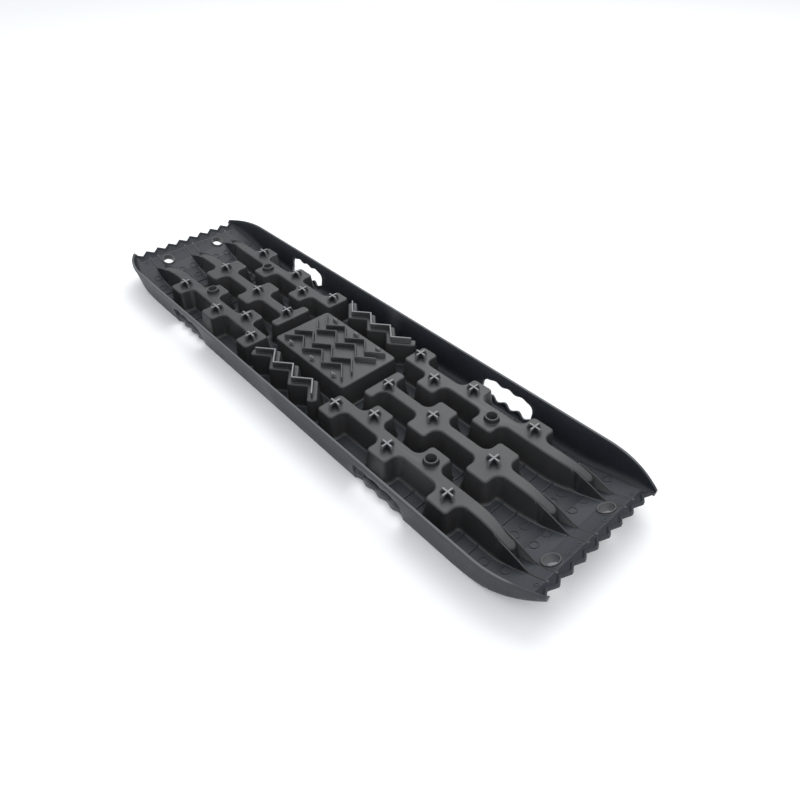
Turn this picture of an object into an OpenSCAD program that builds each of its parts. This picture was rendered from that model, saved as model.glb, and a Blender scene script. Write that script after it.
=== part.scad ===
// Vehicle traction board: a ribbed deck between two drafted side rails, with ramped toothed ends,
// hollow lugged ridges, cross cleats, a raised centre pad and hand slots through the rails.
// Origin at the middle of the underside, +X along the board, +Z up. Lengths in millimetres.

/* [Board] */
// Length over the corner teeth
board_l = 1060; // [1054:1:1066]
// Width over the rims of the side rails
board_w = 282; // [281:1:286]
// Height of the rims above the underside
board_h = 56; // [55:0.5:58]
// Wall thickness of deck, ramps and rails
wall_t = 4; // [3.5:0.25:4.5]

/* [Ridges] */
// Height of the ridge tops above the underside
ridge_z = 45.5; // [44:0.5:47]
// Wall thickness of the hollow ridges
shell_t = 3.5; // [2.5:0.5:4]
// Half length of a lug along the board
lug_half = 19.5; // [18:0.5:20]
// Distance of the outer rows' centreline from the middle
row_y = 74.5; // [74:0.5:75]

/* [Cleats] */
// Height of the cross cleats above the ridge tops
cleat_h = 9.5; // [8:0.5:11]
// Thickness of a cleat arm
cleat_t = 3.6; // [3:0.2:4.4]
// Length of a cleat arm at its foot, from the cleat's middle
cleat_arm = 12.5; // [11:0.5:14]

/* [Holes] */
// Radius of the bore in the mounting rings on the ridges
mount_bore_r = 8; // [7:0.25:8.5]
// Radius of the rope eyes in the ramps
rope_bore_r = 10.5; // [9:0.5:11]
// Length of a hand slot
slot_l = 100; // [90:1:104]

/* [Teeth] */
// Distance between two end teeth
tooth_pitch = 24.7; // [24:0.1:25]
// Depth of the notches between the end teeth
tooth_depth = 8.5; // [6:0.5:10]

/* [Hidden] */

tip_x = board_l / 2;
rim_half = board_w / 2;
plate_z = 2;                    // underside of the deck plate
deck_z = plate_z + wall_t;      // top of the deck
rail_draft = 0.16;              // how far a rail leans out for each unit of height
ramp_x = 395;                   // where the ramps begin to rise
ramp_d = 430;                   // a ramp rises by the square of the run over this
curve_x = 440;                  // where the rails begin to curve in
curve_d = 300;                  // the rails curve in by the square of the run over this
rim_drop_x = 470;               // where the rims begin to dip towards the corners
rim_drop = 4;
joint_x = 97;                   // where the middle deck meets the side decks
body_end_x = 388;               // where the ridges meet their fingers
edge_x = 515;                   // where a ramp meets its toothed edge
ridge_draft = 4;                // how much wider a ridge is at its foot, on each side
spine_half = 10;
lug_out = 27;                   // how far a lug reaches beyond its ridge's spine
corner_r = 7;
pocket_r = 12;
corner_n = 4;
pitch = 58.6;                   // from one lug to the next along a ridge
last_lug_x = 352.4;
row_start_x = 101;
bar_x = [119, 139];             // the cross bar that starts each middle ridge
first_lug_l = 34;               // length of the lug that starts each outer ridge
ring_h = 7.5;                   // height of a mounting ring above the ridge tops
ring_wall = 2.5;
ring_at = [last_lug_x - pitch + 1.5, 61.3];
eye_wall = 2.4;
eye_l = 9;                      // length of a rope eye along its axis
eye_x = 498;
eye_y = 57.2;
eye_tilt = atan(2 * (eye_x - ramp_x) / ramp_d);
slot_x = 266;
slot_top = 37;
wave_p = 26.5;                  // from one finger hollow of a hand slot to the next
pad_half = [93, 56.5];
pad_draft = 3;
zig_run = 26;                   // run of one zigzag leg along the board
zig_legs = 6;
blade_t = 2.6;
pad_blade_h = 8;
stud_h = 6;
stud_arm = [5, 2.2];
rib_t = 3;                      // thickness of the ribs under the board

// ---- heights and outlines that the parts share ----
function sq(v) = v * v;
function lift(x) = sq(max(0, abs(x) - ramp_x)) / ramp_d;
function floor_z(x) = deck_z + lift(x);
function rim_y(x) = rim_half - sq(max(0, abs(x) - curve_x)) / curve_d;
function rim_z(x) = board_h - rim_drop * sq(max(0, abs(x) - rim_drop_x) / (tip_x - rim_drop_x));
function rail_out(x, z) = rim_y(x) - rail_draft * (board_h - z);
function rail_in(x, z) = rail_out(x, z) - wall_t;
function steps(a, b, n) = [for (i = [0:n]) a + (b - a) * i / n];
function unit(v) = v / norm(v);
function left_of(v) = [-v.y, v.x];

// A closed outline with right-angled corners [x, y, r], shrunk by d, with each corner as an arc.
// It stays on the near side of end_x.
function outline(c, d, end_x) = let (n = len(c)) [
  for (i = [0:n - 1]) let (
    p = [c[i].x, c[i].y],
    u = unit(p - [c[(i + n - 1) % n].x, c[(i + n - 1) % n].y]),
    v = unit([c[(i + 1) % n].x, c[(i + 1) % n].y] - p),
    q = p + (left_of(u) + left_of(v)) * d,
    turn = u.x * v.y - u.y * v.x,
    r = max(0.6, c[i].z - turn * d),
    m = c[i].z == 0 ? 0 : corner_n
  ) for (k = [0:m]) let (
    a = m == 0 ? 0 : 90 * k / m,
    w = m == 0 ? q : q + (v - u) * r - r * (v * cos(a) - u * sin(a))
  ) [min(w.x, end_x), w.y]
];

// The corners of one side of a ridge: side is 1 or -1, base the spine's edge, lugs their middles.
function lug_corners(lugs, half, base, side, r1, r2) = [
  for (x = lugs, k = [0:3]) let (out = k == 1 || k == 2)
    [x + (k < 2 ? -half : half), base + (out ? side * lug_out : 0), out ? r1 : r2]
];
function backwards(v) = [for (i = [len(v) - 1:-1:0]) v[i]];

outward_lugs = [for (k = [2, 0]) last_lug_x - k * pitch];
inward_lugs = [for (k = [3, 1]) last_lug_x - k * pitch];

// Outer row: lugs outwards at every second pitch, lugs inwards between them.
outer_corners = concat(
  [[row_start_x, row_y - spine_half, corner_r]],
  lug_corners(inward_lugs, lug_half, row_y - spine_half, -1, corner_r, pocket_r),
  [[body_end_x, row_y - spine_half, 0], [body_end_x, row_y + spine_half, 0]],
  backwards(lug_corners(outward_lugs, lug_half, row_y + spine_half, 1, corner_r, pocket_r)),
  [[row_start_x + first_lug_l, row_y + spine_half, pocket_r],
   [row_start_x + first_lug_l, row_y + spine_half + lug_out, corner_r],
   [row_start_x, row_y + spine_half + lug_out, corner_r + 1]]
);

// Middle row: a cross bar and then lugs on both sides.
mid_side = concat(
  [[bar_x[0], -spine_half - lug_out, corner_r], [bar_x[1], -spine_half - lug_out, corner_r],
   [bar_x[1], -spine_half, pocket_r]],
  lug_corners(outward_lugs, lug_half, -spine_half, -1, corner_r, pocket_r),
  [[body_end_x, -spine_half, 0]]
);
mid_corners = concat(mid_side, backwards([for (p = mid_side) [p.x, -p.y, p.z]]));

// ---- building blocks ----
// A solid through four-cornered sections [y, z], one at each x.
module sweep(xs, sections) {
  last = len(xs) - 1;
  polyhedron(
    points = [for (i = [0:last], p = sections[i]) [xs[i], p.x, p.y]],
    faces = concat(
      [[0, 1, 2], [0, 2, 3]],
      [[4 * last + 2, 4 * last + 1, 4 * last], [4 * last + 3, 4 * last + 2, 4 * last]],
      [for (i = [0:last - 1], k = [0:3]) [4 * i + k, 4 * i + 4 + k, 4 * i + (k + 1) % 4]],
      [for (i = [0:last - 1], k = [0:3]) [4 * i + 4 + k, 4 * i + 4 + (k + 1) % 4, 4 * i + (k + 1) % 4]]
    ));
}

// Builds its children at the right far corner, turned over to another corner by the signs.
module corner(sx, sy) {
  mirror([sx < 0 ? 1 : 0, 0, 0]) mirror([0, sy < 0 ? 1 : 0, 0]) children();
}

// A plate as thick as the walls that follows the floor between the rails.
module floor_plate(x0, x1, n) {
  xs = steps(x0, x1, n);
  sweep(xs, [for (x = xs) let (top = floor_z(x), low = top - wall_t)
    [[-rail_in(x, low), low], [rail_in(x, low), low], [rail_in(x, top), top], [-rail_in(x, top), top]]]);
}

// A hollow block, open below: drafted walls between its outlines, and a flat roof.
module hollow_loft(out_low, out_high, in_low, in_high) {
  n = len(out_low);
  roof = ridge_z - shell_t;
  polyhedron(
    points = concat([for (p = out_low) [p.x, p.y, deck_z]], [for (p = out_high) [p.x, p.y, ridge_z]],
                    [for (p = in_low) [p.x, p.y, deck_z]], [for (p = in_high) [p.x, p.y, roof]]),
    faces = concat(
      [[for (i = [n - 1:-1:0]) n + i], [for (i = [0:n - 1]) 3 * n + i]],
      [for (i = [0:n - 1]) let (j = (i + 1) % n) [i, n + i, j]],
      [for (i = [0:n - 1]) let (j = (i + 1) % n) [n + i, n + j, j]],
      [for (i = [0:n - 1]) let (j = (i + 1) % n) [2 * n + i, 2 * n + j, 3 * n + i]],
      [for (i = [0:n - 1]) let (j = (i + 1) % n) [3 * n + i, 2 * n + j, 3 * n + j]],
      [for (i = [0:n - 1]) let (j = (i + 1) % n) [i, j, 2 * n + i]],
      [for (i = [0:n - 1]) let (j = (i + 1) % n) [2 * n + i, j, 2 * n + j]]
    ));
}

hollow_grow = shell_t - ridge_draft;

module ridge(corners) {
  hollow_end = body_end_x - shell_t;
  hollow_loft(outline(corners, -ridge_draft, body_end_x), outline(corners, 0, body_end_x),
              outline(corners, hollow_grow, hollow_end), outline(corners, shell_t, hollow_end));
}

// The opening under a ridge's hollow.
module ridge_hole(corners) {
  translate([0, 0, plate_z - 1])
    linear_extrude(wall_t + 2) polygon(outline(corners, hollow_grow, body_end_x - shell_t));
}

module both_sides() {
  children();
  mirror([0, 1, 0]) children();
}

module deck_side(s) {
  color("#2a2b2e") corner(s, 1) difference() {
    floor_plate(joint_x, body_end_x, 1);
    both_sides() ridge_hole(outer_corners);
    ridge_hole(mid_corners);
  }
}

function zig_y(k, inner, outer) = k % 2 == 0 ? outer : inner;
function zig_points(inner, outer) = [
  for (k = [0:zig_legs]) [(k - zig_legs / 2) * zig_run, zig_y(k, inner, outer)]
];

// A zigzag band of half width h, run on at each end by e.
function band(pts, h, e) = let (
  n = len(pts) - 1,
  line = concat([pts[0] - unit(pts[1] - pts[0]) * e], [for (i = [1:n - 1]) pts[i]],
                [pts[n] + unit(pts[n] - pts[n - 1]) * e]),
  side = [for (i = [0:n]) let (
    u = unit(line[min(i + 1, n)] - line[min(i, n - 1)]),
    w = unit(line[max(i, 1)] - line[max(i - 1, 0)]),
    m = left_of(u + w)
  ) m * h / (1 + u * w)]
) concat([for (i = [0:n]) line[i] - side[i]], [for (i = [n:-1:0]) line[i] + side[i]]);

step_line = zig_points(81.3, 102.3);
step_half = 8.5;
step_end = 8.5;

module deck_center() {
  color("#2a2b2e") difference() {
    floor_plate(-joint_x, joint_x, 1);
    translate([0, 0, deck_z])
      cube([2 * (pad_half.x + pad_draft - shell_t), 2 * (pad_half.y + pad_draft - shell_t), 3 * wall_t],
           center = true);
    both_sides() step_block(shell_t, plate_z - 1, deck_z + 1);
  }
}

// The middle line of a ridge's finger, which swings outwards in the outer rows.
function finger_y(row, x) = row == 0 ? 0 : row_y + 4.5 * min(1, sq((x - body_end_x) / 52));
function finger_top(x) = ridge_z - sq(max(0, x - ramp_x)) / 450;
narrow_x = 442;                 // where a finger has drawn in to its narrow end
narrow_half = 7.75;
function finger_half(x) = x < narrow_x
  ? spine_half - (spine_half - narrow_half) * sq((x - body_end_x) / (narrow_x - body_end_x)) : narrow_half;
finger_end = 459;
finger_nose = 452;
function nose(x) = x <= finger_nose ? 1
  : sqrt(max(0.04, 1 - sq((x - finger_nose) / (finger_end + 0.2 - finger_nose))));
finger_xs = concat(steps(body_end_x, narrow_x, 9), steps(narrow_x + 1, finger_nose, 3),
                   steps(finger_nose + 1, finger_end, 6));

function flank(x, z) = x > narrow_x ? 0 : ridge_draft * (finger_top(x) - z) / (ridge_z - deck_z);

function finger_section(row, x, inset) = let (
  c = finger_y(row, x),
  low = floor_z(x),
  a = (finger_half(x) - inset) * nose(x + inset),
  b = a + flank(x, low)
) [[c - b, low], [c + b, low], [c + a, finger_top(x) - inset], [c - a, finger_top(x) - inset]];

// The hollow's stations: as many as the finger's own, drawn in by the wall at both ends.
finger_run = finger_end - body_end_x;
hollow_xs = [for (x = finger_xs)
  body_end_x + shell_t + (x - body_end_x) * (finger_run - 2 * shell_t) / finger_run];

module finger(row) {
  n = len(finger_xs);
  last = n - 1;
  m = 4 * n;
  polyhedron(
    points = concat(
      [for (i = [0:last], p = finger_section(row, finger_xs[i], 0)) [finger_xs[i], p.x, p.y]],
      [for (i = [0:last], p = finger_section(row, hollow_xs[i], shell_t)) [hollow_xs[i], p.x, p.y]]),
    faces = concat(
      [[0, 1, 2], [0, 2, 3]],
      [[4 * last + 2, 4 * last + 1, 4 * last], [4 * last + 3, 4 * last + 2, 4 * last]],
      [for (i = [0:last - 1], k = [1:3]) [4 * i + k, 4 * i + 4 + k, 4 * i + (k + 1) % 4]],
      [for (i = [0:last - 1], k = [1:3]) [4 * i + 4 + k, 4 * i + 4 + (k + 1) % 4, 4 * i + (k + 1) % 4]],
      [[m + 2, m + 1, m], [m + 3, m + 2, m]],
      [[m + 4 * last, m + 4 * last + 1, m + 4 * last + 2]],
      [[m + 4 * last, m + 4 * last + 2, m + 4 * last + 3]],
      [for (i = [0:last - 1], k = [1:3]) [m + 4 * i + (k + 1) % 4, m + 4 * i + 4 + k, m + 4 * i + k]],
      [for (i = [0:last - 1], k = [1:3])
        [m + 4 * i + (k + 1) % 4, m + 4 * i + 4 + (k + 1) % 4, m + 4 * i + 4 + k]],
      [for (i = [0:last - 1]) let (a = 4 * i) [a, a + 4, m + a]],
      [for (i = [0:last - 1]) let (a = 4 * i) [m + a, a + 4, m + a + 4]],
      [for (i = [0:last - 1]) let (a = 4 * i + 1) [a + 4, a, m + a]],
      [for (i = [0:last - 1]) let (a = 4 * i + 1) [a + 4, m + a, m + a + 4]],
      [[1, 0, m], [1, m, m + 1]],
      [[4 * last, 4 * last + 1, m + 4 * last + 1], [4 * last, m + 4 * last + 1, m + 4 * last]]
    ));
}

// The opening under a finger's hollow.
module finger_hole(row) {
  low = [for (x = hollow_xs) finger_section(row, x, shell_t)];
  last = len(hollow_xs) - 1;
  linear_extrude(board_h) polygon(concat(
    [for (i = [0:last]) [hollow_xs[i], low[i][0].x]],
    [for (i = [last:-1:0]) [hollow_xs[i], low[i][1].x]]));
}

// The two fins that carry a finger's flanks on to the teeth.
fin_x = [narrow_x + 0.2, edge_x - 1];
fin_out = 9.75;                 // from a fin's outer face to its finger's middle line
function fin_top(x) = 37.8 + 3 * sq((x - 482) / 33);
module fins(row) {
  xs = steps(fin_x[0], fin_x[1], 12);
  c = finger_y(row, fin_x[1]);
  for (s = [-1, 1])
    sweep(xs, [for (x = xs) let (
        low = floor_z(x),
        top = max(fin_top(x), low + 0.6),
        foot = fin_out + 0.1 * (top - low),
        right = [[c + narrow_half, low], [c + foot, low], [c + fin_out, top], [c + narrow_half, top]],
        left = [[c - foot, low], [c - narrow_half, low], [c - narrow_half, top], [c - fin_out, top]]
      ) s > 0 ? right : left]);
}

module ramp(s) {
  color("#2a2b2e") corner(s, 1) difference() {
    floor_plate(body_end_x, edge_x, 24);
    both_sides() finger_hole(1);
    finger_hole(0);
    both_sides() eye_shape(rope_bore_r + eye_wall + 0.1, board_h);
  }
}

// The plan of an end's teeth: pointed, with the corner teeth at the rails.
module teeth_plan() {
  count = 9;
  polygon(concat(
    [[edge_x, -rim_half], [tip_x, -rim_half], [tip_x, -(count + 0.1) / 2 * tooth_pitch]],
    [for (k = [0:2 * count - 2]) let (y = (k - count + 1) * tooth_pitch / 2)
      [tip_x - (k % 2 == 0 ? tooth_depth : 1.5), y]],
    [[tip_x, (count + 0.1) / 2 * tooth_pitch], [tip_x, rim_half], [edge_x, rim_half]]));
}

module toothed_edge(s) {
  color("#303134") corner(s, 1) intersection() {
    floor_plate(edge_x, tip_x, 6);
    linear_extrude(2 * board_h) teeth_plan();
  }
}

// Outline of a hand slot seen from the side: rounded upper corners and a finger-waved top.
function slot_wave(x) = 1.6 * cos(360 * (x - slot_x) / wave_p);
slot_r = 12;
module hand_slot() {
  r = slot_r;
  half = slot_l / 2;
  flat = slot_l / 2 - slot_r;
  rotate([90, 0, 0]) linear_extrude(10 * wall_t, center = true) polygon(concat(
    [[slot_x - half, -5]],
    [for (a = [180:-15:105]) [slot_x - half + r + r * cos(a), slot_top - r + r * sin(a)]],
    [for (x = steps(slot_x - flat, slot_x + flat, 24))
      [x, slot_top + slot_wave(x) - slot_wave(slot_x - flat)]],
    [for (a = [75:-15:0]) [slot_x + half - r + r * cos(a), slot_top - r + r * sin(a)]],
    [[slot_x + half, -5]]));
}

module rail(sx, sy) {
  xs = concat([0], steps(curve_x - 45, tip_x, 27));
  color("#26272a") corner(sx, sy) difference() {
    sweep(xs, [for (x = xs) let (low = lift(x), top = rim_z(x))
      [[rail_in(x, low), low], [rail_out(x, low), low], [rail_out(x, top), top], [rail_in(x, top), top]]]);
    translate([0, rim_half, 0]) hand_slot();
  }
}

// The scalloped lip at the foot of a hand slot.
module grip_lip(sx, sy) {
  half = slot_l / 2 - 1;
  xs = steps(slot_x - half, slot_x + half, 32);
  lip_t = 3.6;
  color("#303134") corner(sx, sy)
    translate([0, rail_in(0, deck_z), 0]) rotate([90, 0, 0]) linear_extrude(lip_t) polygon(concat(
      [[slot_x + half, deck_z], [slot_x - half, deck_z]],
      [for (x = xs) [x, deck_z + 6 + 2.4 * cos(360 * (x - slot_x) / wave_p)]]));
}

module ridge_row(row, sx, sy) {
  color("#3a3b3e") corner(sx, sy) resize([0, 0, 0]) ridge(row == 0 ? mid_corners : outer_corners);
}
module finger_row(row, sx, sy) { color("#3a3b3e") corner(sx, sy) finger(row); }
module fins_row(row, sx, sy) { color("#45464a") corner(sx, sy) fins(row); }

// A cross cleat: two crossed upright plates with sloping ends.
module cleat() {
  arm_top = cleat_arm - 3;
  for (a = [0, 90]) rotate([0, 0, a]) rotate([90, 0, 0]) linear_extrude(cleat_t, center = true)
    polygon([[-cleat_arm, 0], [cleat_arm, 0], [arm_top, cleat_h], [-arm_top, cleat_h]]);
}
cleat_out = 13;                 // how far the outer rows' cleats stand from their centreline
outer_cleats = [
  for (k = [0, 2, 3, 4]) [last_lug_x - k * pitch, k == 3 ? row_y - cleat_out - 0.5 : row_y + cleat_out]
];
mid_cleats = [[last_lug_x + 0.8, 0], [last_lug_x - 2 * pitch + 1.3, 0], [bar_x[1] - 0.5, 0]];
module cleats(row, sx, sy) {
  color("#4c4d51") corner(sx, sy)
    for (p = row == 0 ? mid_cleats : outer_cleats) translate([p.x, p.y, ridge_z]) cleat();
}

module mount_ring(sx, sy) {
  r = mount_bore_r;
  color("#45464a") corner(sx, sy) translate([ring_at.x, ring_at.y, ridge_z]) rotate_extrude($fn = 96)
    polygon([[r, 0], [r + ring_wall, 0], [r + ring_wall, ring_h - 1],
             [r + ring_wall - 1, ring_h], [r, ring_h]]);
}

// A tube square to the ramp, through its plate.
module eye_shape(r, h) {
  translate([eye_x, eye_y, floor_z(eye_x) - wall_t / 2]) rotate([0, -eye_tilt, 0])
    cylinder(h = h, r = r, center = true, $fn = 96);
}
module rope_eye(sx, sy) {
  color("#45464a") corner(sx, sy) difference() {
    eye_shape(rope_bore_r + eye_wall, eye_l);
    eye_shape(rope_bore_r, 2 * eye_l);
  }
}

function rectangle(h, r) = [[-h.x, -h.y, r], [h.x, -h.y, r], [h.x, h.y, r], [-h.x, h.y, r]];
module center_pad() {
  c = rectangle(pad_half, corner_r);
  color("#3a3b3e") hollow_loft(outline(c, -pad_draft, joint_x), outline(c, 0, joint_x),
    outline(c, shell_t - pad_draft, joint_x), outline(c, shell_t, joint_x));
}

module blade(line, h) {
  translate([0, 0, ridge_z]) linear_extrude(h) polygon(band(line, blade_t / 2, 1));
}
module pad_zigzag_ribs() {
  color("#4c4d51") both_sides() {
    blade(zig_points(24.4, 44.8), pad_blade_h);
    blade(zig_points(4.2, 24.6), pad_blade_h);
  }
}

// A stud with three short arms, pointing across the board.
module pad_studs() {
  color("#4c4d51") both_sides() for (x = [-57, 1, 59]) translate([x, 46.5, ridge_z])
    linear_extrude(stud_h) for (a = [0, 90, 180])
      rotate([0, 0, a]) translate([0, -stud_arm.y / 2]) square(stud_arm);
}

module step_block(inset, z0, z1) {
  translate([0, 0, z0]) linear_extrude(z1 - z0)
    polygon(band(step_line, step_half - inset, step_end - inset));
}
module zigzag_step(sy) {
  color("#3a3b3e") corner(1, sy) difference() {
    step_block(0, deck_z, ridge_z);
    step_block(shell_t, deck_z - 1, ridge_z - shell_t);
  }
}
module zigzag_blade(sy) {
  color("#4c4d51") corner(1, sy) blade(step_line, cleat_h);
}

// Low ribs across the underside.
module under_ribs(xs) {
  half = rail_in(0, 0) - 3;
  color("#26272a") for (x = xs) translate([x - rib_t / 2, -half, 0]) cube([rib_t, 2 * half, plate_z]);
}
side_ribs = [for (k = [1:5]) 90 + k * pitch];

deck_center();
deck_side(-1);  // deck_left
deck_side(1);  // deck_right
ramp(-1);  // ramp_left
ramp(1);  // ramp_right
toothed_edge(-1);  // toothed_edge_left
toothed_edge(1);  // toothed_edge_right
rail(-1, -1);  // rail_near_left
rail(1, -1);  // rail_near_right
rail(-1, 1);  // rail_far_left
rail(1, 1);  // rail_far_right
grip_lip(-1, -1);  // grip_lip_near_left
grip_lip(1, -1);  // grip_lip_near_right
grip_lip(-1, 1);  // grip_lip_far_left
grip_lip(1, 1);  // grip_lip_far_right
ridge_row(1, -1, -1);  // ridge_near_left
ridge_row(1, 1, -1);  // ridge_near_right
ridge_row(0, -1, 1);  // ridge_mid_left
ridge_row(0, 1, 1);  // ridge_mid_right
ridge_row(1, -1, 1);  // ridge_far_left
ridge_row(1, 1, 1);  // ridge_far_right
finger_row(1, -1, -1);  // finger_near_left
finger_row(1, 1, -1);  // finger_near_right
finger_row(0, -1, 1);  // finger_mid_left
finger_row(0, 1, 1);  // finger_mid_right
finger_row(1, -1, 1);  // finger_far_left
finger_row(1, 1, 1);  // finger_far_right
fins_row(1, -1, -1);  // fins_near_left
fins_row(1, 1, -1);  // fins_near_right
fins_row(0, -1, 1);  // fins_mid_left
fins_row(0, 1, 1);  // fins_mid_right
fins_row(1, -1, 1);  // fins_far_left
fins_row(1, 1, 1);  // fins_far_right
cleats(1, -1, -1);  // cleats_near_left
cleats(1, 1, -1);  // cleats_near_right
cleats(0, -1, 1);  // cleats_mid_left
cleats(0, 1, 1);  // cleats_mid_right
cleats(1, -1, 1);  // cleats_far_left
cleats(1, 1, 1);  // cleats_far_right
mount_ring(-1, -1);  // mount_ring_near_left
mount_ring(1, -1);  // mount_ring_near_right
mount_ring(-1, 1);  // mount_ring_far_left
mount_ring(1, 1);  // mount_ring_far_right
rope_eye(-1, -1);  // rope_eye_near_left
rope_eye(1, -1);  // rope_eye_near_right
rope_eye(-1, 1);  // rope_eye_far_left
rope_eye(1, 1);  // rope_eye_far_right
center_pad();
pad_zigzag_ribs();
pad_studs();
zigzag_step(-1);  // zigzag_step_near
zigzag_step(1);  // zigzag_step_far
zigzag_blade(-1);  // zigzag_blade_near
zigzag_blade(1);  // zigzag_blade_far
under_ribs([0]);  // under_ribs_center
under_ribs([for (x = side_ribs) -x]);  // under_ribs_left
under_ribs(side_ribs);  // under_ribs_right
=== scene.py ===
import math

import bpy
import bmesh
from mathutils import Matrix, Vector


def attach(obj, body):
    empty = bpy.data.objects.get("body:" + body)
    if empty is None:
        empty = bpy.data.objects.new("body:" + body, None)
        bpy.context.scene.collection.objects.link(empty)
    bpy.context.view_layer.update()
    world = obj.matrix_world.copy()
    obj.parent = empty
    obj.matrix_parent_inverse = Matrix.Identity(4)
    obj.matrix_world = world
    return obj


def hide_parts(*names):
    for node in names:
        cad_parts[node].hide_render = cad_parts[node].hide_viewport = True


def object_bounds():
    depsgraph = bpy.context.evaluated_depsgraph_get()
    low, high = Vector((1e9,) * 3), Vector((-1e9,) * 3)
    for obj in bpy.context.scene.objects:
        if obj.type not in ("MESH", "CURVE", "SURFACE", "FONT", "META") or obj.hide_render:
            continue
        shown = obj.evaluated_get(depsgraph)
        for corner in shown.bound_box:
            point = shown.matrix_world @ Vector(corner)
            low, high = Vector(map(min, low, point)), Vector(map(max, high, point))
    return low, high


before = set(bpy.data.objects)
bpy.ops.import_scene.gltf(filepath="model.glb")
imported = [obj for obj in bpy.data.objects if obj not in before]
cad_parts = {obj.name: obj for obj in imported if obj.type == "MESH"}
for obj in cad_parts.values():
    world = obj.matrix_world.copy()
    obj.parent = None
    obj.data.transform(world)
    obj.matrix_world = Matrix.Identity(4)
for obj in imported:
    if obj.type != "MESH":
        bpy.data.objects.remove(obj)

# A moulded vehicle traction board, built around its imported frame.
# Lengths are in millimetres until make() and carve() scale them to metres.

cad_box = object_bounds()
MM = 0.001

# ---- driving sizes, as in the frame ----
BOARD_H = round(float(cad_box[1][2]) / MM, 3)
TIP_X = round(float(cad_box[1][0]) / MM, 3)
RIM_HALF = round(float(cad_box[1][1]) / MM, 3)
WALL_T = 4.0
PLATE_Z = 2.0
DECK_Z = PLATE_Z + WALL_T
RIDGE_Z = 45.5
SHELL_T = 3.5
RAIL_DRAFT = 0.16
RAMP_X, RAMP_D = 395.0, 430.0
CURVE_X, CURVE_D = 440.0, 300.0
RIM_DROP_X, RIM_DROP = 470.0, 4.0
RIDGE_DRAFT = 4.0
SPINE_HALF, LUG_OUT, LUG_HALF = 10.0, 27.0, 19.5
CORNER_R, POCKET_R = 7.0, 12.0
PITCH, LAST_LUG_X = 58.6, 352.4
ROW_START_X, FIRST_LUG_L = 101.0, 34.0
ROW_Y = 74.5
SWING, SWING_L = 4.5, 52.0  # how far the outer fingers swing out, and over what length
FINGER_D = 450.0
BAR_X = (119.0, 139.0)
BODY_END_X, FINGER_END, NOSE_X = 388.0, 459.0, 451.0
NARROW_L = 54.0  # the length over which a finger draws in to the fins' spacing
FIN_IN, FIN_OUT = 7.75, 9.6
FIN_START, FIN_END, FIN_GROW = 430.0, 515.0, 16.0
CLEAT_H, CLEAT_ARM, CLEAT_OUT = 9.5, 12.5, 13.0
PAD_BLADE_H = 8.0
RING = (LAST_LUG_X - PITCH + 1.5, 61.3, RIDGE_Z + 7.5)
RING_R = 8.0
EYE = (498.0, 57.2)
EYE_R = 10.5
SLOT_X, SLOT_HALF, SLOT_TOP, WAVE_P = 266.0, 50.0, 37.0, 26.5
PAD_HALF, PAD_DRAFT = (93.0, 56.5), 3.0
PAD_CORNERS = [(sx * PAD_HALF[0], sy * PAD_HALF[1], CORNER_R)
               for sx, sy in ((-1, -1), (1, -1), (1, 1), (-1, 1))]
PAD_ZIGZAGS = ((24.4, 44.8), (4.2, 24.6))
STUD_XS, STUD_Y = (-57, 1, 59), 46.5
ZIG_RUN, ZIG_LEGS = 26.0, 6
STEP_ZIGZAG, STEP_HALF, STEP_END, STEP_R, STEP_DRAFT = (81.3, 102.3), 8.0, 8.5, 4.5, 2.6
SLOT_R, WAVE_H = 12.0, 1.6
TOOTH_STRIP_X = 508.5
BODY_STEPS = 7  # facets in each corner arc of a ridge
TOOTH_PITCH, TOOTH_DEPTH = 24.7, 8.5
ENDS = ((-1, "left"), (1, "right"))
ROWS = ((1, "near", -1), (0, "mid", 1), (1, "far", 1))
CORNERS = [(-1, -1, "near_left"), (1, -1, "near_right"), (-1, 1, "far_left"), (1, 1, "far_right")]


def lift(x):
    return max(0.0, abs(x) - RAMP_X) ** 2 / RAMP_D


def floor_z(x):
    return DECK_Z + lift(x)


def rim_y(x):
    return RIM_HALF - max(0.0, abs(x) - CURVE_X) ** 2 / CURVE_D


def rim_z(x):
    return BOARD_H - RIM_DROP * (max(0.0, abs(x) - RIM_DROP_X) / (TIP_X - RIM_DROP_X)) ** 2


def rail_out(x, z):
    return rim_y(x) - RAIL_DRAFT * (BOARD_H - z)


def rail_in(x, z):
    return rail_out(x, z) - WALL_T


def finger_y(row, x):
    if row == 0:
        return 0.0
    return ROW_Y + SWING * min(1.0, (max(0.0, x - BODY_END_X) / SWING_L) ** 2)


def ridge_top(x):
    return RIDGE_Z - max(0.0, x - RAMP_X) ** 2 / FINGER_D


def spread(a, b, n):
    return [a + (b - a) * i / n for i in range(n + 1)]


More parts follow.
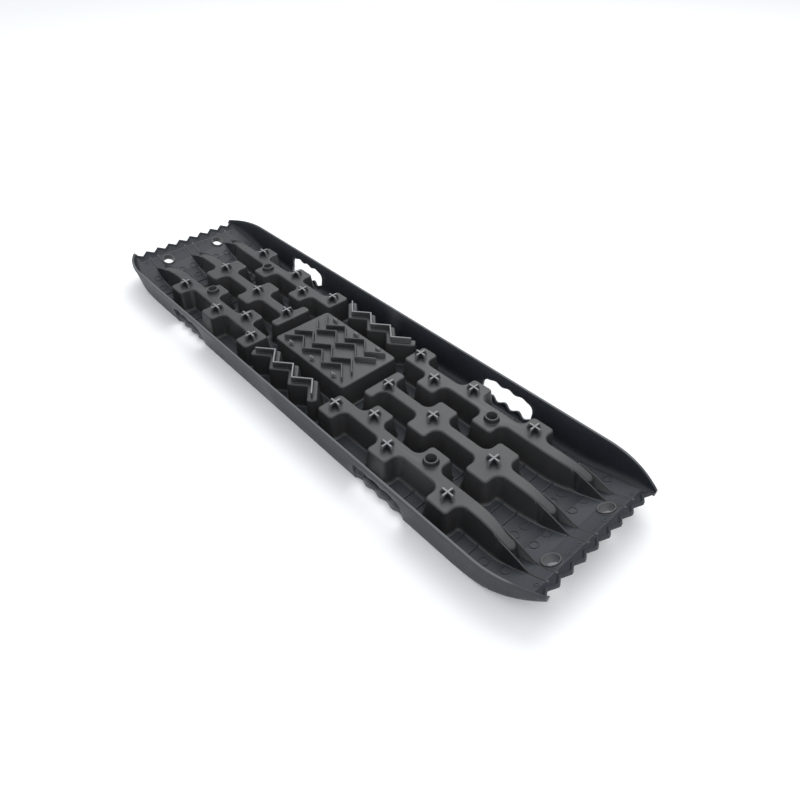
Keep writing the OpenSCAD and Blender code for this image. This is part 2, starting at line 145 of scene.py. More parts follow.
# ---- materials ----
def moulded(name, base, painted_highlight, rough, grain, shine, ribs=False, tips=None):
    """Black moulded nylon: faint tone changes, a fine eroded grain, and a painted highlight that lightens the
    edges to a grey; with tips given, the faces above that height take the painted highlight too.
    """
    mat = bpy.data.materials.new(name)
    mat.use_nodes = True
    nodes, links = mat.node_tree.nodes, mat.node_tree.links
    shader = nodes["Principled BSDF"]
    place = nodes.new("ShaderNodeTexCoord")

    def noise(scale, detail, roughness=0.55):
        n = nodes.new("ShaderNodeTexNoise")
        n.inputs["Scale"].default_value = scale
        n.inputs["Detail"].default_value = detail
        n.inputs["Roughness"].default_value = roughness
        links.new(place.outputs["Object"], n.inputs["Vector"])
        return n

    def ramp(source, lo, hi, a, b):
        r = nodes.new("ShaderNodeMapRange")
        links.new(source, r.inputs["Value"])
        for socket, value in (("From Min", lo), ("From Max", hi), ("To Min", a), ("To Max", b)):
            r.inputs[socket].default_value = value
        return r.outputs["Result"]

    def mix(factor, a, b):
        m = nodes.new("ShaderNodeMix")
        m.data_type = "RGBA"
        links.new(factor, m.inputs["Factor"])
        for socket, value in ((6, a), (7, b)):
            if isinstance(value, tuple):
                m.inputs[socket].default_value = (*value, 1.0)
            else:
                links.new(value, m.inputs[socket])
        return m.outputs[2]

    cloud = noise(9.0, 4.0)
    dust = noise(60.0, 6.0, 0.7)
    geometry = nodes.new("ShaderNodeNewGeometry")
    darker = tuple(c * 0.8 for c in base)
    tone = mix(ramp(cloud.outputs["Fac"], 0.35, 0.68, 0.0, 1.0), darker, base)
    powder = tuple(c * 1.35 for c in base)
    tone = mix(ramp(dust.outputs["Fac"], 0.52, 0.75, 0.0, 0.5), tone, powder)
    # painted highlight: sharp convex edges (high pointiness) are lightened towards the highlight grey,
    # standing in for light catching the rounded edges
    tone = mix(ramp(geometry.outputs["Pointiness"], 0.52, 0.60, 0.0, 0.75), tone, painted_highlight)
    # painted highlight: everything above the tips height takes the highlight grey, standing in for light
    # falling on the top faces
    if tips is not None:
        split = nodes.new("ShaderNodeSeparateXYZ")
        links.new(place.outputs["Object"], split.inputs["Vector"])
        tone = mix(ramp(split.outputs["Z"], tips - 0.0005, tips, 0.0, 1.0), tone, painted_highlight)
    links.new(tone, shader.inputs["Base Color"])
    links.new(ramp(cloud.outputs["Fac"], 0.3, 0.7, rough - 0.05, rough + 0.06), shader.inputs["Roughness"])
    shader.inputs["Specular IOR Level"].default_value = shine
    fine = noise(1600.0, 3.0, 0.6)
    coarse = noise(230.0, 2.0)
    total = nodes.new("ShaderNodeMath")
    total.operation = "MULTIPLY_ADD"
    links.new(fine.outputs["Fac"], total.inputs[0])
    total.inputs[1].default_value = 0.6
    links.new(coarse.outputs["Fac"], total.inputs[2])
    height = total.outputs["Value"]
    if ribs:
        wave = nodes.new("ShaderNodeTexWave")
        wave.wave_type = "BANDS"
        wave.bands_direction = "X"
        wave.inputs["Scale"].default_value = 95.0
        links.new(place.outputs["Object"], wave.inputs["Vector"])
        joined = nodes.new("ShaderNodeMath")
        joined.operation = "MULTIPLY_ADD"
        links.new(wave.outputs["Fac"], joined.inputs[0])
        joined.inputs[1].default_value = 0.5
        links.new(height, joined.inputs[2])
        height = joined.outputs["Value"]
    bump = nodes.new("ShaderNodeBump")
    bump.inputs["Strength"].default_value = 0.16 * grain
    bump.inputs["Distance"].default_value = 0.0004
    links.new(height, bump.inputs["Height"])
    links.new(bump.outputs["Normal"], shader.inputs["Normal"])
    return mat


# The four are one black nylon: ridge_nylon is a lighter neutral copy for the lit ridge tops, and deck_nylon
# and rail_nylon are darker bluish copies for the recesses and the rails' sides, as painted light and painted
# shade.
# the second colour given to moulded() is the painted highlight grey for edges and top faces
DECK = moulded("deck_nylon", (0.016, 0.019, 0.025), (0.05, 0.054, 0.062), 0.50, 1.2, 0.26)
# rail: the rim's top face above tips gets the painted highlight
RAIL = moulded("rail_nylon", (0.018, 0.021, 0.027), (0.09, 0.093, 0.10), 0.45, 1.0, 0.30, ribs=True,
               tips=BOARD_H * MM - 0.0003)
RIDGE = moulded("ridge_nylon", (0.030, 0.030, 0.031), (0.08, 0.08, 0.082), 0.45, 0.9, 0.5)
# cleats: their top edges above tips get a strong painted highlight
CLEAT = moulded("cleat_nylon", (0.016, 0.017, 0.019), (0.20, 0.2, 0.205), 0.42, 0.8, 0.34,
                tips=(RIDGE_Z + CLEAT_H) * MM - 0.0004)


# ---- mesh tools ----
def make(name, verts, faces, material, slot, nodes, angle=32.0, cut=None):
    """A piece from points in millimetres, less the solid cut. It stands for the named frame nodes."""
    mesh = bpy.data.meshes.new(name)
    mesh.from_pydata([(x * MM, y * MM, z * MM) for x, y, z in verts], [], faces)
    work = bmesh.new()
    work.from_mesh(mesh)
    bmesh.ops.remove_doubles(work, verts=work.verts, dist=0.00002)
    bmesh.ops.recalc_face_normals(work, faces=work.faces)
    work.to_mesh(mesh)
    work.free()
    piece = bpy.data.objects.new(name, mesh)
    bpy.context.scene.collection.objects.link(piece)
    if cut is not None:
        carve(piece, cut)
    mesh = piece.data
    mesh.shade_smooth()
    mesh.set_sharp_from_angle(angle=math.radians(angle))
    mesh.materials.clear()
    mesh.materials.append(material)
    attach(piece, "root")
    if nodes:
        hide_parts(*nodes)


def carve(piece, cut):
    """Takes the solid cut = (verts, faces) out of a piece."""
    mesh = bpy.data.meshes.new("cutter")
    mesh.from_pydata([(x * MM, y * MM, z * MM) for x, y, z in cut[0]], [], cut[1])
    work = bmesh.new()
    work.from_mesh(mesh)
    bmesh.ops.recalc_face_normals(work, faces=work.faces)
    work.to_mesh(mesh)
    work.free()
    cutter = bpy.data.objects.new("cutter", mesh)
    bpy.context.scene.collection.objects.link(cutter)
    modifier = piece.modifiers.new("cut", "BOOLEAN")
    modifier.operation = "DIFFERENCE"
    modifier.solver = "EXACT"
    modifier.object = cutter
    bpy.context.view_layer.update()
    carved = bpy.data.meshes.new_from_object(piece.evaluated_get(bpy.context.evaluated_depsgraph_get()))
    piece.modifiers.clear()
    piece.data = carved
    bpy.data.objects.remove(cutter)


def turned(verts, sx, sy):
    return [(x * sx, y * sy, z) for x, y, z in verts]


def joined(*solids):
    """Several (verts, faces) as one."""
    verts, faces = [], []
    for v, f in solids:
        start = len(verts)
        verts.extend(v)
        faces.extend([tuple(i + start for i in face) for face in f])
    return verts, faces


def bands(n, low, high):
    """Quads between two rings of n points, whose first points are numbers low and high."""
    return [(low + i, low + (i + 1) % n, high + (i + 1) % n, high + i) for i in range(n)]


def cap(n, start, long=False):
    """Faces that close a ring: one flat face, or for a long thin ring a strip across from side to side."""
    if not long:
        return [tuple(range(start, start + n))]
    return [(start + i, start + i + 1, start + n - 2 - i, start + n - 1 - i) for i in range(n // 2 - 1)]


def stack(rings, long=False, bottom=True):
    """A solid through closed rings, with flat ends."""
    n = len(rings[0])
    verts = [p for ring in rings for p in ring]
    faces = [face for r in range(len(rings) - 1) for face in bands(n, r * n, (r + 1) * n)]
    faces += cap(n, (len(rings) - 1) * n, long)
    if bottom:
        faces += [face[::-1] for face in cap(n, 0, long)]
    return verts, faces


def prism(ring, z0, z1):
    return stack([[(x, y, z0) for x, y in ring], [(x, y, z1) for x, y in ring]])


def bar(x0, x1, y0, y1, z0, z1):
    return prism([(x0, y0), (x1, y0), (x1, y1), (x0, y1)], z0, z1)


def post(x, y, r, z0, z1, n=40):
    turns = [2 * math.pi * k / n for k in range(n)]
    return prism([(x + r * math.cos(a), y + r * math.sin(a)) for a in turns], z0, z1)


def outline(corners, d, steps=BODY_STEPS):
    """A closed outline of corners (x, y, r), shrunk by d, with its corners as arcs."""
    out = []
    n = len(corners)
    for i, (x, y, r) in enumerate(corners):
        p = Vector((x, y))
        u = (p - Vector(corners[i - 1][:2])).normalized()
        v = (Vector(corners[(i + 1) % n][:2]) - p).normalized()
        left = Vector((-u.y - v.y, u.x + v.x)) / (1 + u.dot(v))
        q = p + left * d
        turn = 1 if u.x * v.y - u.y * v.x > 0 else -1
        if r == 0:
            out.append((q.x, q.y))
            continue
        radius = max(0.5, r - turn * d)
        angle = math.acos(max(-1.0, min(1.0, u.dot(v))))
        start = q - u * radius * math.tan(angle / 2)
        normal = Vector((-u.y, u.x)) * turn
        centre = start + normal * radius
        for k in range(steps + 1):
            a = turn * angle * k / steps
            w = -normal * radius
            out.append((centre.x + w.x * math.cos(a) - w.y * math.sin(a),
                        centre.y + w.x * math.sin(a) + w.y * math.cos(a)))
    return out


def zigzag(inner, outer):
    return [((k - ZIG_LEGS / 2) * ZIG_RUN, outer if k % 2 == 0 else inner) for k in range(ZIG_LEGS + 1)]


def band(line, h, e, r):
    """The corners (x, y, r) round a zigzag line: half width h, run on by e."""
    pts = [Vector(p) for p in line]
    pts[0] -= (pts[1] - pts[0]).normalized() * e
    pts[-1] += (pts[-1] - pts[-2]).normalized() * e
    sides = []
    for i, p in enumerate(pts):
        u = (pts[min(i + 1, len(pts) - 1)] - pts[min(i, len(pts) - 2)]).normalized()
        w = (pts[max(i, 1)] - pts[max(i - 1, 0)]).normalized()
        sides.append(Vector((-u.y - w.y, u.x + w.x)) * h / (1 + u.dot(w)))
    low = [(p.x - s.x, p.y - s.y, r) for p, s in zip(pts, sides)]
    high = [(p.x + s.x, p.y + s.y, r) for p, s in zip(pts, sides)]
    return low + high[::-1]


def step_band():
    return band(zigzag(*STEP_ZIGZAG), STEP_HALF, STEP_END, STEP_R)


# ---- ridges with their fingers ----
def lugs(xs, base, side):
    out = []
    for x in xs:
        out += [(x - LUG_HALF, base, POCKET_R), (x - LUG_HALF, base + side * LUG_OUT, CORNER_R),
                (x + LUG_HALF, base + side * LUG_OUT, CORNER_R), (x + LUG_HALF, base, POCKET_R)]
    return out


def body_corners(row):
    """The corners of a ridge's lugged body: its low side outwards from the middle, and its high side back."""
    outward = [LAST_LUG_X - 2 * PITCH, LAST_LUG_X]
    inward = [LAST_LUG_X - 3 * PITCH, LAST_LUG_X - PITCH]
    if row == 0:
        end = SPINE_HALF + LUG_OUT
        low = [(BAR_X[0], -end, CORNER_R), (BAR_X[1], -end, CORNER_R), (BAR_X[1], -SPINE_HALF, POCKET_R)]
        low += lugs(outward, -SPINE_HALF, -1)
        high = [(x, -y, r) for x, y, r in low][::-1]
    else:
        low = [(ROW_START_X, ROW_Y - SPINE_HALF, CORNER_R)] + lugs(inward, ROW_Y - SPINE_HALF, -1)
        top = ROW_Y + SPINE_HALF
        high = [(ROW_START_X, top + LUG_OUT, CORNER_R), (ROW_START_X + FIRST_LUG_L, top + LUG_OUT, CORNER_R),
                (ROW_START_X + FIRST_LUG_L, top, POCKET_R)]
        high = (high + lugs(outward, top, 1))[::-1]
    return low, high


def finger_half(x):
    return SPINE_HALF - (SPINE_HALF - FIN_IN) * min(1.0, ((x - BODY_END_X) / NARROW_L) ** 2)


FINGER_XS = spread(BODY_END_X, NOSE_X, 14)


def ridge_ring(row, d, height):
    """One closed ring of a ridge, shrunk by d. height(x) gives each point's z."""
    low, high = body_corners(row)
    base = ROW_Y if row else 0.0
    corners = low + [(BODY_END_X, base - SPINE_HALF, 0), (BODY_END_X, base + SPINE_HALF, 0)] + high
    body = outline(corners, d)
    low_n = (BODY_STEPS + 1) * len(low)
    lower, upper = body[:low_n], body[low_n + 2:]
    a, b = [], []
    for x in FINGER_XS:
        half = finger_half(x) - d
        a.append((x, finger_y(row, x) - half))
        b.append((x, finger_y(row, x) + half))
    nose = []
    tip = FINGER_END - NOSE_X - d
    half = FIN_IN - d
    for k in range(1, 12):
        t = math.pi * (k / 12 - 0.5)
        nose.append((NOSE_X + tip * math.cos(t), finger_y(row, NOSE_X) + half * math.sin(t)))
    ring = lower + a + nose + b[::-1] + upper
    return [(x, y, height(x)) for x, y in ring], len(lower), len(a), len(nose)


def ridge_levels():
    """Up a ridge: (shrink, height above the floor) at its foot, then (shrink, depth below its top)."""
    foot = [(d - RIDGE_DRAFT, up) for d, up in ((-4.0, 0.0), (-2.0, 0.6), (-0.7, 2.0), (0.3, 4.6))]
    r = 3.0
    edge = []
    for k in range(6):
        a = math.pi / 2 * k / 5
        edge.append((0.3 + r * (1 - math.cos(a)), r * (1 - math.sin(a))))
    edge.append((0.3 + r + 0.8, 0.0))
    return foot, edge


def ridge_solid(row):
    """A ridge and its finger as one hollow form, open below."""
    foot, edge = ridge_levels()
    rings = []
    for d, up in foot:
        rings.append(ridge_ring(row, d, lambda x, up=up: min(floor_z(x) + up, ridge_top(x) - 4.0))[0])
    for d, down in edge:
        rings.append(ridge_ring(row, d, lambda x, down=down: ridge_top(x) - down)[0])
    n_low, n_side, n_nose = ridge_ring(row, 0, floor_z)[1:]
    rings.append(ridge_ring(row, SHELL_T + 0.3, lambda x: ridge_top(x) - SHELL_T)[0])
    rings.append(ridge_ring(row, SHELL_T - RIDGE_DRAFT, lambda x: floor_z(x) - 0.2)[0])
    n = len(rings[0])
    verts = [p for ring in rings for p in ring]
    outer = len(foot) + len(edge)
    faces = []
    for r in list(range(outer - 1)) + [outer]:
        faces += bands(n, r * n, (r + 1) * n)
    faces += bands(n, 0, (outer + 1) * n)
    # roofs: the flat body as one face, the finger in strips between its two sides
    for base in ((outer - 1) * n, outer * n):
        lower = list(range(n_low + 1))
        top_start = n_low + n_side + n_nose + n_side - 1
        upper = list(range(top_start, n))
        faces.append(tuple(base + i for i in lower + upper))
        for k in range(n_side - 1):
            a = n_low + k
            b = n_low + 2 * n_side + n_nose - 1 - k
            faces.append((base + a, base + a + 1, base + b - 1, base + b))
        nose = list(range(n_low + n_side - 1, n_low + n_side + n_nose + 1))
        while len(nose) > 3:
            faces.append((base + nose[0], base + nose[1], base + nose[-2], base + nose[-1]))
            nose = nose[1:-1]
        if len(nose) == 3:
            faces.append(tuple(base + i for i in nose))
    return verts, faces


def ridges():
    for row, label, sy in ROWS:
        verts, faces = ridge_solid(row)
        for sx, end in ENDS:
            cut = None
            if row:
                cut = post(sx * RING[0], sy * RING[1], RING_R + 1.2, 20, BOARD_H)
            make(f"ridge_body_{label}_{end}", turned(verts, sx, sy), faces, RIDGE, "ridge_plastic",
                 [f"ridge_{label}_{end}", f"finger_{label}_{end}"], cut=cut)


# ---- fins from the fingers to the teeth ----
def fin_top(x):
    return 37.8 + 3.0 * ((x - 482) / 33) ** 2


def fins():
    xs = spread(FIN_START, FIN_END, 34)
    for row, label, sy in ROWS:
        solids = []
        for side in (-1, 1):
            rings = []
            for x in xs:
                c = finger_y(row, x)
                low = floor_z(x) - 0.5
                top = max(min(fin_top(x), ridge_top(x) + 0.4), low + 1.2)
                emerged = min(1.0, (x - FIN_START) / FIN_GROW)
                out = FIN_IN + 0.4 + (FIN_OUT - FIN_IN - 0.4) * emerged
                foot = out + 0.11 * (top - low) * emerged
                edge = 0.3 * (out - FIN_IN)
                section = [(FIN_IN - 0.4, low), (foot + 2.2 * emerged, low),
                           (foot + 0.5 * emerged, low + min(2.5, 0.5 * (top - low))),
                           (out, top - edge), (out - 0.4 * edge, top - 0.15), (out - edge, top),
                           (FIN_IN + edge, top), (FIN_IN + 0.1, top - 0.15), (FIN_IN, top - edge)]
                rings.append([(x, c + side * y, z) for y, z in section])
            solids.append(stack(rings))
        verts, faces = joined(*solids)
        for sx, end in ENDS:
            make(f"finger_fins_{label}_{end}", turned(verts, sx, sy), faces, CLEAT, "cleat_plastic",
                 [f"fins_{label}_{end}"])


# ---- cleats, rings, eyes ----
def cross(x, y):
    """A cleat whose four arms slope in and thin towards a rounded top edge."""
    rings = []
    for up, a, t in ((-0.4, CLEAT_ARM + 0.6, 2.5), (0.5, CLEAT_ARM - 0.1, 2.0),
                     (CLEAT_H * 0.5, CLEAT_ARM - 1.7, 1.75), (CLEAT_H - 0.7, CLEAT_ARM - 3.1, 1.5),
                     (CLEAT_H - 0.2, CLEAT_ARM - 3.4, 1.25), (CLEAT_H, CLEAT_ARM - 3.9, 0.85)):
        plan = [(a, -t), (a, t), (t, t), (t, a), (-t, a), (-t, t),
                (-a, t), (-a, -t), (-t, -t), (-t, -a), (t, -a), (t, -t)]
        rings.append([(x + p, y + q, RIDGE_Z + up) for p, q in plan])
    return stack(rings)


def cleats():
    outer = [(LAST_LUG_X - k * PITCH, ROW_Y + CLEAT_OUT) for k in (0, 2, 4)]
    outer.insert(2, (LAST_LUG_X - 3 * PITCH, ROW_Y - CLEAT_OUT - 0.5))
    middle = [(LAST_LUG_X + 0.8, 0), (LAST_LUG_X - 2 * PITCH + 1.3, 0), (BAR_X[1] - 0.5, 0)]
    for places, label, sy in ((outer, "near", -1), (middle, "mid", 1), (outer, "far", 1)):
        verts, faces = joined(*[cross(x, y) for x, y in places])
        for sx, end in ENDS:
            make(f"cross_cleats_{label}_{end}", turned(verts, sx, sy), faces, CLEAT, "cleat_plastic",
                 [f"cleats_{label}_{end}"])


def lathe(profile, place, n=64):
    """A ring turned from (r, z) points round +Z, put in place by a function."""
    rings = []
    for k in range(n):
        a = 2 * math.pi * k / n
        rings.append([place(r * math.cos(a), r * math.sin(a), z) for r, z in profile])
    m = len(profile)
    verts = [p for ring in rings for p in ring]
    faces = [face for k in range(n) for face in bands(m, k * m, (k + 1) % n * m)]
    return verts, faces


def rings_and_eyes():
    top = RING[2]
    foot = ((0.0, 0.3 - RIDGE_Z), (2.4, 0.3 - RIDGE_Z), (2.6, -2), (4.6, -0.3), (3.6, 0.5), (3.0, 1.6))
    lip = ((2.5, -0.9), (2.2, -0.3), (1.6, 0.0), (0.6, 0.0), (0.15, -0.3), (0.0, -0.8))
    profile = [(RING_R + out, RIDGE_Z + up) for out, up in foot]
    profile += [(RING_R + out, top + up) for out, up in lip]
    verts, faces = lathe(profile, lambda x, y, z: (RING[0] + x, RING[1] + y, z))
    tilt = math.atan(2 * (EYE[0] - RAMP_X) / RAMP_D)
    mid = floor_z(EYE[0]) - WALL_T / 2

    def lean(x, y, z):
        return (EYE[0] + x * math.cos(tilt) - z * math.sin(tilt), EYE[1] + y,
                mid + x * math.sin(tilt) + z * math.cos(tilt))

    rim = ((2.4, 1.8), (3.4, 2.1), (2.4, 2.9), (2.1, 4.1), (1.6, 4.5), (0.6, 4.5), (0.1, 4.1))
    eye = [(EYE_R + out, up) for out, up in ((0.0, -9.0), (1.9, -9.0)) + rim]
    eye_verts, eye_faces = lathe(eye, lean)
    for sx, sy, label in CORNERS:
        make(f"mounting_ring_{label}", turned(verts, sx, sy), faces, CLEAT, "cleat_plastic",
             [f"mount_ring_{label}"])
        make(f"eyelet_{label}", turned(eye_verts, sx, sy), eye_faces, CLEAT, "cleat_plastic",
             [f"rope_eye_{label}"])


# ---- centre pad and the zigzags ----
def hollow_block(corners, draft, steps=6, long=False):
    """A hollow drafted block with rounded edges, open below."""
    def ring(d, z):
        return [(x, y, z) for x, y in outline(corners, d, steps)]

    levels = ((-3.5, 0.0), (-1.6, 0.6), (-0.5, 2.0), (0.4, 4.6))
    rings = [ring(d - draft, DECK_Z + up) for d, up in levels]
    r = 2.6
    for k in range(6):
        a = math.pi / 2 * k / 5
        rings.append(ring(r * (1 - math.cos(a)), RIDGE_Z - r * (1 - math.sin(a))))
    rings.append(ring(r + 0.7, RIDGE_Z))
    outer = stack(rings, long, bottom=False)
    inside = [ring(SHELL_T - draft, DECK_Z - 0.2), ring(SHELL_T, RIDGE_Z - SHELL_T)]
    under = stack(inside, long, bottom=False)
    n = len(rings[0])
    start = len(outer[0])
    verts, faces = joined(outer, under)
    return verts, faces + bands(n, 0, start)


def blade(line, height):
    """A thin zigzag rib on a roof, thinner and rounded at its top."""
    rings = []
    for up, h in ((-0.3, 2.2), (0.5, 1.75), (height - 0.6, 1.25), (height - 0.15, 1.0), (height, 0.6)):
        rings.append([(x, y, RIDGE_Z + up) for x, y in outline(band(line, h, h * 0.6, 0.8), 0.0, 3)])
    return stack(rings, long=True)


def stud(x, sy):
    """A small stud with two arms along the board and one across it."""
    parts = []
    for dx, dy, ax, ay in ((2.6, 0, 3.2, 1.3), (-2.6, 0, 3.2, 1.3), (0, 1.8, 1.3, 3.0)):
        rings = []
        for up, s in ((-0.3, 1.15), (3.0, 0.95), (5.6, 0.72), (6.0, 0.5)):
            plan = [(-ax, -ay), (ax, -ay), (ax, ay), (-ax, ay)]
            rings.append([(x + dx + p * s, sy * (STUD_Y + dy + q * s), RIDGE_Z + up) for p, q in plan])
        parts.append(stack(rings))
    return joined(*parts)


def centre():
    verts, faces = hollow_block(PAD_CORNERS, PAD_DRAFT)
    make("traction_pad", verts, faces, RIDGE, "ridge_plastic", ["center_pad"])
    ribs = []
    for sy in (-1, 1):
        for inner, outer in PAD_ZIGZAGS:
            verts, faces = blade(zigzag(inner, outer), PAD_BLADE_H)
            ribs.append((turned(verts, 1, sy), faces))
    make("pad_chevrons", *joined(*ribs), CLEAT, "cleat_plastic", ["pad_zigzag_ribs"])
    studs = [stud(x, sy) for sy in (-1, 1) for x in STUD_XS]
    make("pad_grip_studs", *joined(*studs), CLEAT, "cleat_plastic", ["pad_studs"])
    for sy, label in ((-1, "near"), (1, "far")):
        verts, faces = hollow_block(step_band(), STEP_DRAFT, 5, long=True)
        make(f"chevron_step_{label}", turned(verts, 1, sy), faces, RIDGE, "ridge_plastic",
             [f"zigzag_step_{label}"])
        verts, faces = blade(zigzag(*STEP_ZIGZAG), CLEAT_H)
        make(f"chevron_blade_{label}", turned(verts, 1, sy), faces, CLEAT, "cleat_plastic",
             [f"zigzag_blade_{label}"])


# ---- rails ----
def rail_section(x):
    """Round a rail's section (y, z): out and up the outer face, over the rim, and down into the floor."""
    foot, top = lift(x), rim_z(x)
    tall = top - foot
    bead = 1.2
    points = [(rail_out(x, foot) - 3.2, foot), (rail_out(x, foot) - 0.8, foot),
              (rail_out(x, foot), foot + 0.8)]
    for z in (foot + 0.3 * tall, foot + 0.65 * tall, top - 7.0, top - 6.2):
        points.append((rail_out(x, min(z, top - 5.5)), min(z, top - 5.5)))
    points += [(rail_out(x, top - 5) + bead * 0.9, top - 5.0),
               (rail_out(x, top) + bead * 0.4 - 0.4, top - 1.2),
               (rail_out(x, top) - 0.5, top - 0.3), (rail_out(x, top) - 1.2, top)]
    points += [(rail_in(x, top) + 1.0, top), (rail_in(x, top) + 0.25, top - 0.4),
               (rail_in(x, top - 1.2), top - 1.2)]
    floor = floor_z(x)
    r = min(11.0, 0.45 * (top - floor))
    for z in (top - 0.4 * (top - floor - r), floor + r):
        points.append((rail_in(x, z), z))
    for k in range(1, 6):
        a = math.pi / 2 * k / 5
        points.append((rail_in(x, floor + r) - r * (1 - math.cos(a)) * 0.9,
                       floor + r - (r - 0.15) * math.sin(a)))
    inner = rail_in(x, floor) - r * 0.9 - 1.0
    points += [(inner, floor + 0.1), (inner, floor - 2.0), (rail_out(x, foot) - 3.6, floor - 3.0)]
    return points


def slot_solid():
    """The air of a hand slot: rounded upper corners and a waved top, cut down through the rail's foot."""
    r = SLOT_R
    x0, x1 = SLOT_X - SLOT_HALF, SLOT_X + SLOT_HALF
    plan = [(x0, -6.0)]
    for k in range(8):
        a = math.pi - math.pi / 2 * k / 7
        plan.append((x0 + r + r * math.cos(a), SLOT_TOP - r + r * math.sin(a)))
    start = WAVE_H * math.cos(2 * math.pi * (r - SLOT_HALF) / WAVE_P)
    for x in spread(x0 + r, x1 - r, 44)[1:-1]:
        plan.append((x, SLOT_TOP + WAVE_H * math.cos(2 * math.pi * (x - SLOT_X) / WAVE_P) - start))
    for k in range(8):
        a = math.pi / 2 - math.pi / 2 * k / 7
        plan.append((x1 - r + r * math.cos(a), SLOT_TOP - r + r * math.sin(a)))
    plan.append((x1, -6.0))
    return stack([[(x, y, z) for x, z in plan] for y in (RIM_HALF - 26.0, RIM_HALF + 10.0)])


def rails():
    xs = spread(0, RAMP_X, 16)[:-1] + spread(RAMP_X, TIP_X, 60)
    verts, faces = stack([[(x, y, z) for y, z in rail_section(x)] for x in xs])
    slot = slot_solid()
    for sx, sy, label in CORNERS:
        make(f"side_rail_{label}", turned(verts, sx, sy), faces, RAIL, "rail_plastic", [f"rail_{label}"],
             cut=(turned(slot[0], sx, sy), slot[1]))


def slot_lips():
    """The scalloped lip at the foot of each hand slot."""
    lip = []
    y1 = rail_in(0, DECK_Z) + 0.4
    for x in spread(SLOT_X - SLOT_HALF - 1.0, SLOT_X + SLOT_HALF + 1.0, 72):
        wave = math.cos(2 * math.pi * (x - SLOT_X) / WAVE_P)
        top = DECK_Z + 7.0 + 2.2 * wave
        out = y1 + 0.8 + WAVE_H * wave
        section = [(y1 - 13.0, PLATE_Z), (out, PLATE_Z), (out + 0.6, top - 1.2), (out, top - 0.3),
                   (out - 0.9, top), (out - 2.6, top), (out - 3.4, top - 0.5), (out - 4.4, DECK_Z + 2.4),
                   (out - 6.0, DECK_Z + 0.9), (y1 - 11.5, DECK_Z + 0.5), (y1 - 12.6, DECK_Z)]
        lip.append([(x, y, z) for y, z in section])
    verts, faces = stack(lip)
    for sx, sy, label in CORNERS:
        make(f"slot_lip_{label}", turned(verts, sx, sy), faces, RAIL, "rail_plastic", [f"grip_lip_{label}"])


# ---- deck, ramps and toothed ends ----
def mould_ring(x, y, profile, n):
    """A low ring that lies along the ramp."""
    slope = 2 * (x - RAMP_X) / RAMP_D
    return lathe(profile, lambda a, b, c: (x + a, y + b, floor_z(x) + slope * a + c), n)


def floor_marks():
    """Low cross ribs on the right end's floor, and the rings left there by the mould."""
    solids = []
    for x in spread(293, 413, 5):
        half = rail_in(x, floor_z(x)) - 8
        solids.append(bar(x - 1.1, x + 1.1, -half, half, floor_z(x) - 1.0, floor_z(x) + 1.6))
    outer_finger = ROW_Y + SWING
    for x, offsets, r, barred in ((435.0, (-27.0, 31.0), 6.5, True), (464.0, (-21.0, 33.0), 6.0, False)):
        for centre_y in (-outer_finger, 0.0, outer_finger):
            for dy in offsets:
                y = centre_y + dy
                if abs(y) > rim_y(x) - 20:
                    continue
                profile = [(r - 0.9, -0.5), (r + 0.9, -0.5), (r + 0.45, 1.0), (r - 0.45, 1.0)]
                solids.append(mould_ring(x, y, profile, 28))
                if barred:
                    solids.append(bar(x - 0.8, x + 0.8, y - 6.0, y + 6.0, floor_z(x) - 0.5, floor_z(x) + 1.2))
    for y in (-98.0, -37.0, -17.0, 17.0, 37.0, 98.0):
        solids.append(mould_ring(507.0, y, [(1.4, -0.5), (4.2, -0.5), (3.5, 0.7), (2.1, 0.7)], 18))
    return joined(*solids)


def plate(xs):
    """The deck and its ramps, reaching a little way into the rails."""
    rings = []
    for x in xs:
        top, low = floor_z(x), floor_z(x) - WALL_T
        rings.append([(x, -rail_in(x, low) - 0.3, low), (x, rail_in(x, low) + 0.3, low),
                      (x, rail_in(x, top) + 0.3, top), (x, -rail_in(x, top) - 0.3, top)])
    return stack(rings)


def deck_holes():
    """The openings in the deck under each hollow."""
    solids = []
    for row, signs in ((0, (1,)), (1, (-1, 1))):
        ring = [(x, y) for x, y, _ in ridge_ring(row, SHELL_T - RIDGE_DRAFT, floor_z)[0]]
        for sy in signs:
            for sx in (-1, 1):
                solids.append(prism([(sx * x, sy * y) for x, y in ring], -8.0, 40.0))
    step = outline(step_band(), SHELL_T - STEP_DRAFT, 4)
    for sy in (-1, 1):
        solids.append(prism([(x, sy * y) for x, y in step], -8.0, 14.0))
    solids.append(prism(outline(PAD_CORNERS, SHELL_T - PAD_DRAFT, 6), -8.0, 14.0))
    for sx, sy, _ in CORNERS:
        solids.append(post(sx * EYE[0], sy * EYE[1], EYE_R + 0.7, 0.0, BOARD_H))
    return joined(*solids)


def tooth_edge_x(y):
    """How far out an end's edge is at y: pointed teeth with slightly rounded tips."""
    if abs(y) > 4.5 * TOOTH_PITCH:
        return TIP_X
    phase = abs((y / TOOTH_PITCH + 0.5) % 1.0 - 0.5) * 2
    return TIP_X - TOOTH_DEPTH + (TOOTH_DEPTH - 1.5) * min(1.0, phase * 1.06)


def toothed_end():
    """The strip that ends a ramp: a plate with a zigzag edge and a raised bead along it."""
    rows = []
    start = TOOTH_STRIP_X
    limit = 4.5 * TOOTH_PITCH + 0.5
    for y in spread(-limit, limit, 180):
        edge = tooth_edge_x(y)
        ring = []
        for share, up in ((0.0, -0.5), (0.25, 0.02), (0.5, 0.05)):
            x = start + (edge - start) * share
            ring.append((x, y, floor_z(x) + up))
        for back, up in ((5.0, 0.3), (4.2, 1.6), (3.4, 2.1), (1.6, 2.1), (0.6, 1.5), (0.0, 0.3)):
            x = edge - back
            ring.append((x, y, floor_z(x) + up))
        ring += [(edge, y, floor_z(edge) - WALL_T - 0.5),
                 (edge - 2.5, y, floor_z(edge - 2.5) - WALL_T - 0.8),
                 (start, y, floor_z(start) - WALL_T + 0.5)]
        rows.append(ring)
    return stack(rows)


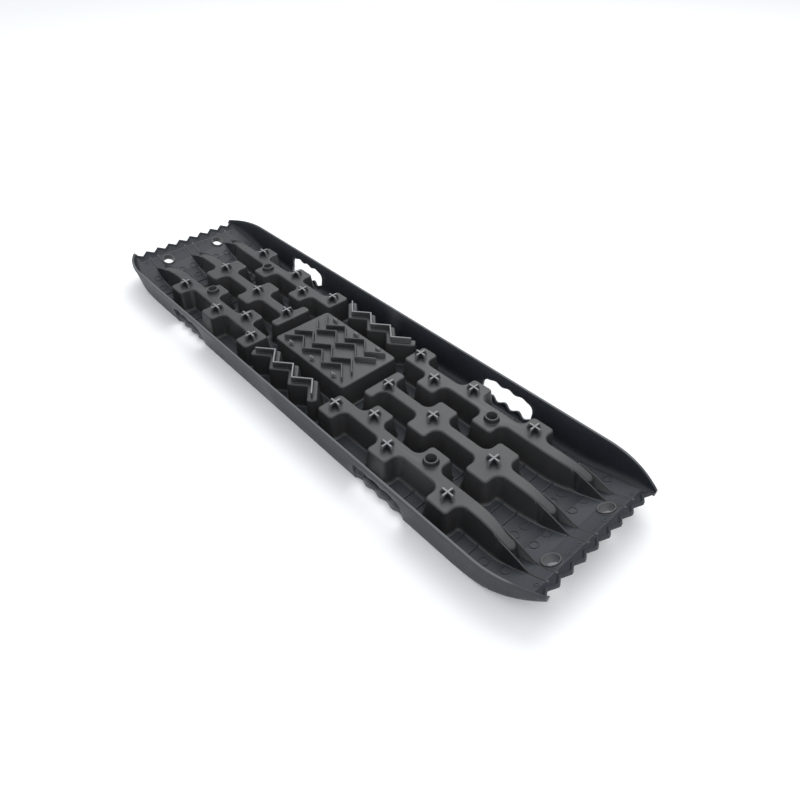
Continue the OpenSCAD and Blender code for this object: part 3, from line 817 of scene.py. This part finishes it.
def deck():
    cut = deck_holes()
    xs = [-x for x in spread(RAMP_X, 512, 40)][::-1] + spread(RAMP_X, 512, 40)
    verts, faces = plate(xs)
    nodes = ["deck_center"] + [f"{part}_{end}" for part in ("deck", "ramp") for end in ("left", "right")]
    make("deck_plate", verts, faces, DECK, "deck_plastic", nodes, angle=25, cut=cut)
    for sx, end in ENDS:
        verts, faces = floor_marks()
        make(f"floor_ribs_{end}", turned(verts, sx, 1), faces, DECK, "deck_plastic", [], cut=cut)
        verts, faces = toothed_end()
        make(f"tooth_strip_{end}", turned(verts, sx, 1), faces, DECK, "deck_plastic",
             [f"toothed_edge_{end}"])


def underside():
    """Low ribs across the underside, and gussets that tie the walls of each hollow together."""
    xs = [90 + k * PITCH for k in range(1, 6)]
    half = rail_in(0, 0) - 3
    pad_x, pad_y = PAD_HALF[0] - 1.5, PAD_HALF[1] - 1.5
    roof = RIDGE_Z - SHELL_T + 0.5
    for name, places in (("center", [0.0]), ("left", [-x for x in xs]), ("right", xs)):
        solids = []
        for x in places:
            solids.append(bar(x - 1.5, x + 1.5, -half, half, 0.0, PLATE_Z))
            if x:
                for y in (-ROW_Y, 0.0, ROW_Y):
                    solids.append(bar(x - 1.2, x + 1.2, y - 10.5, y + 10.5, 0.4, roof))
            else:
                solids.append(bar(x - 1.2, x + 1.2, -pad_y, pad_y, 0.4, roof))
        if name == "center":
            for y in (-28.0, 0.0, 28.0):
                solids.append(bar(-pad_x, pad_x, y - 1.2, y + 1.2, 0.4, roof))
        make(f"stiffening_ribs_{name}", *joined(*solids), DECK, "deck_plastic", [f"under_ribs_{name}"])


# ---- stage ----
def stage():
    mesh = bpy.data.meshes.new("floor")
    size = 40.0
    corners = [(-size, -size, 0), (size, -size, 0), (size, size, 0), (-size, size, 0)]
    mesh.from_pydata(corners, [], [(0, 1, 2, 3)])
    floor = bpy.data.objects.new("floor", mesh)
    bpy.context.scene.collection.objects.link(floor)
    mat = bpy.data.materials.new("pale_floor")
    mat.use_nodes = True
    shader = mat.node_tree.nodes["Principled BSDF"]
    shader.inputs["Base Color"].default_value = (0.92, 0.92, 0.92, 1)
    shader.inputs["Roughness"].default_value = 0.9
    shader.inputs["Specular IOR Level"].default_value = 0.1
    mesh.materials.append(mat)

    world = bpy.data.worlds.new("soft_studio")
    world.use_nodes = True
    sky = world.node_tree.nodes["Background"]
    sky.inputs["Color"].default_value = (0.95, 0.975, 1.0, 1)
    sky.inputs["Strength"].default_value = 1.0
    bpy.context.scene.world = world

    lamps = (("key", (-0.9, 1.5, 2.2), 2.2, 42.0), ("fill", (1.8, -1.0, 1.8), 1.6, 9.0))
    for name, place, width, power in lamps:
        lamp = bpy.data.lights.new(name, "AREA")
        lamp.shape = "SQUARE"
        lamp.size = width
        lamp.energy = power
        light = bpy.data.objects.new(name, lamp)
        light.location = place
        light.rotation_euler = (-Vector(place)).to_track_quat("-Z", "Y").to_euler()
        bpy.context.scene.collection.objects.link(light)


def camera():
    """At the photograph's angle, with its slight roll."""
    data = bpy.data.cameras.new("camera")
    data.sensor_width = 36.0
    data.lens = 27.65
    cam = bpy.data.objects.new("camera", data)
    cam.location = (0.6926, -0.4642, 0.6083 + (RIDGE_Z + CLEAT_H) * MM)
    cam.rotation_euler = (math.radians(48.185), math.radians(0.784), math.radians(47.992))
    bpy.context.scene.collection.objects.link(cam)
    bpy.context.scene.camera = cam


ridges()
fins()
cleats()
rings_and_eyes()
centre()
rails()
slot_lips()
deck()
underside()
stage()
camera()
bpy.context.scene.view_settings.view_transform = "Standard"
